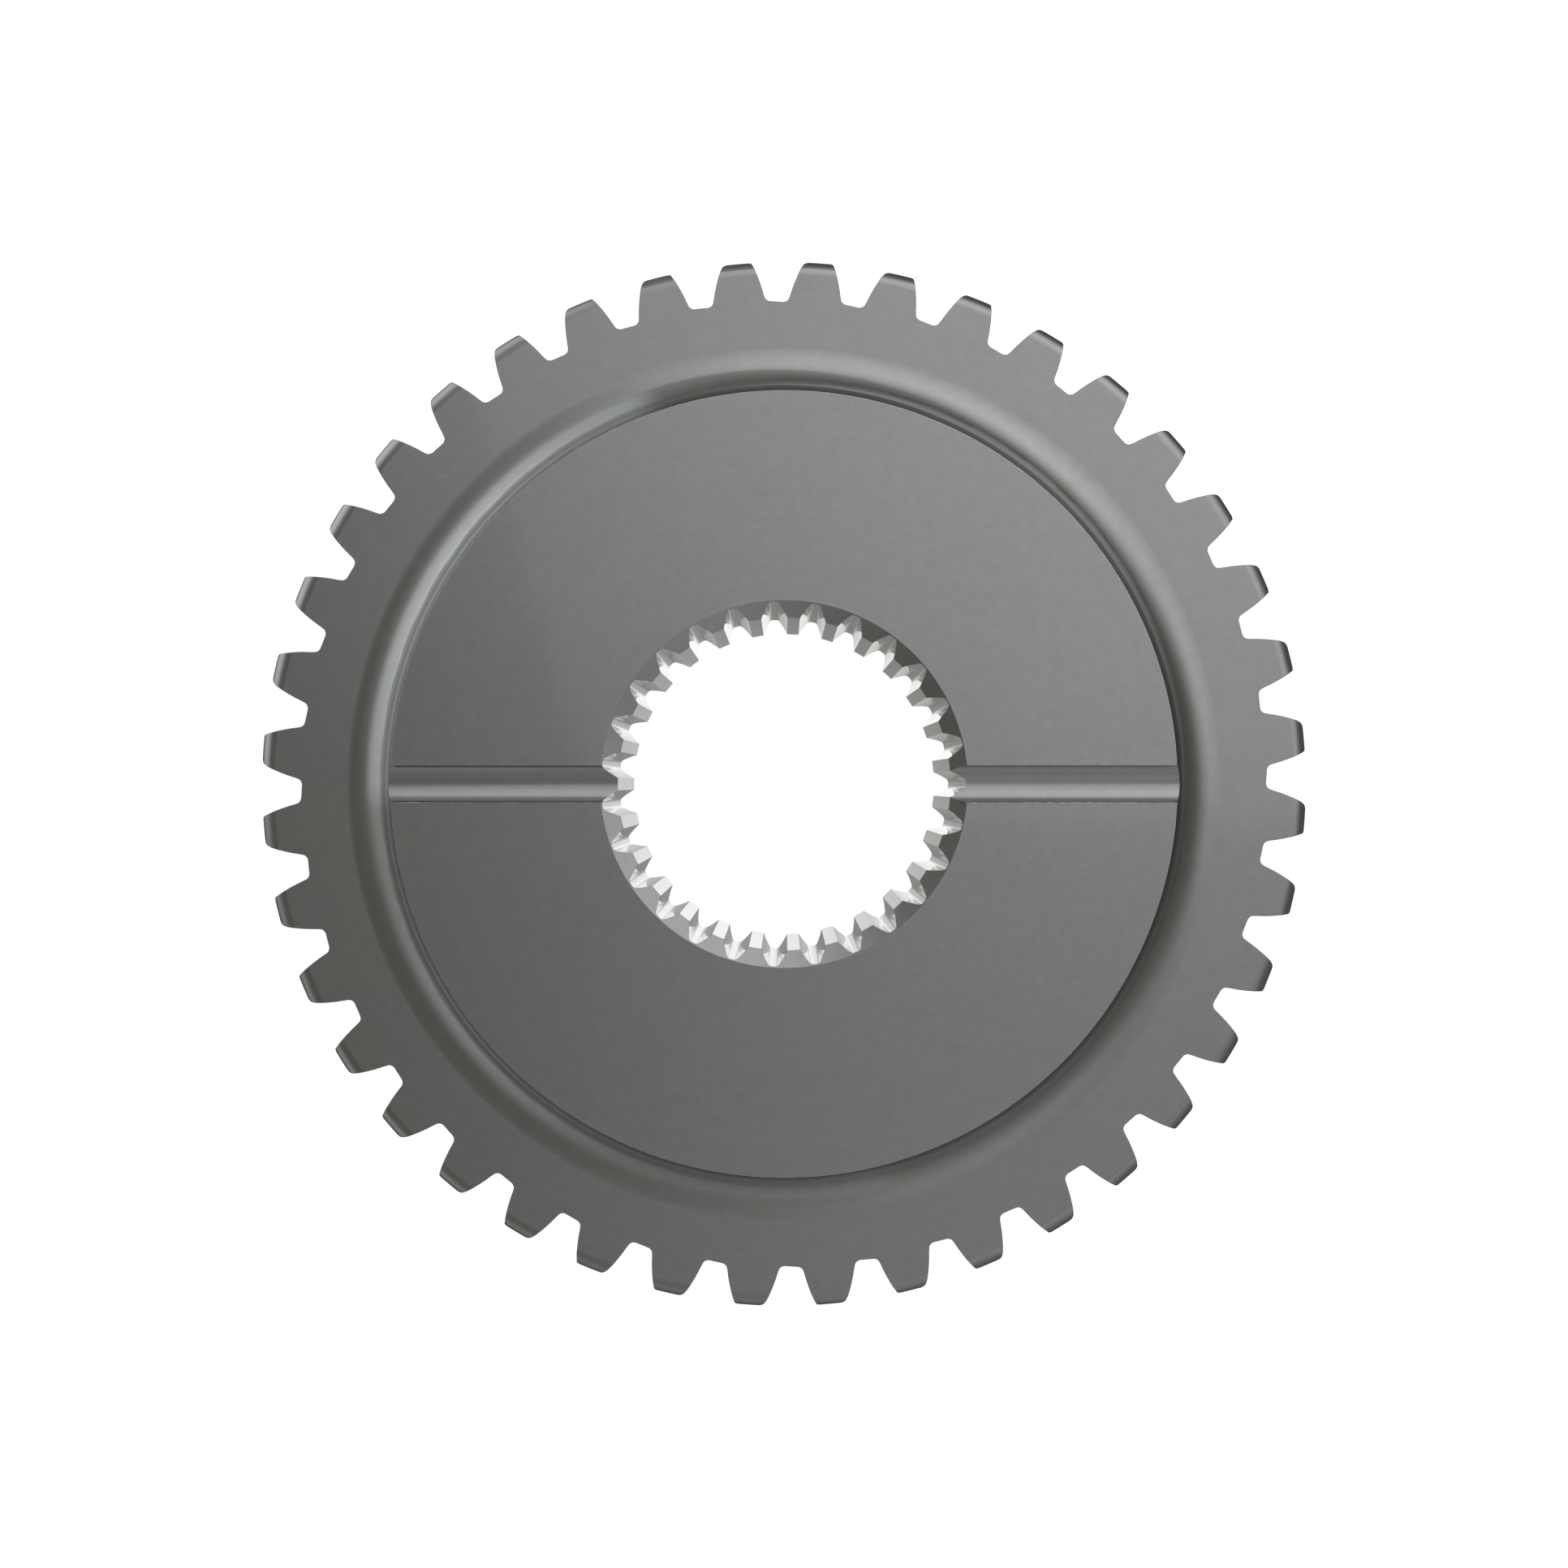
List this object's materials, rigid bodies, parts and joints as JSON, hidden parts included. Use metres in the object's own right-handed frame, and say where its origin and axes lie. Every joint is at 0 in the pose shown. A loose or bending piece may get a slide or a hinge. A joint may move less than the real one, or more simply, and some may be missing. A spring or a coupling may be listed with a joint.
{
  "type": "spur gear",
  "caption": "Solid steel spur gear with rounded tooth ends, a raised thrust hub, an internally splined bore and oil grooves across the hub face.",
  "frame": {"origin": "centre of the bore in the gear's flat rear face, which is the face it lies on", "axes": "+Z along the bore axis, out of the hub face; +X through an oil groove and through the middle of one spline space; +Y completes the frame"},
  "size_m": [0.1754, 0.1754, 0.0476],
  "materials": {
    "gear_steel": "dark satin machined steel"
  },
  "bodies": {
    "root": {"gear_wheel": "gear_steel"}
  },
  "joints": []
}
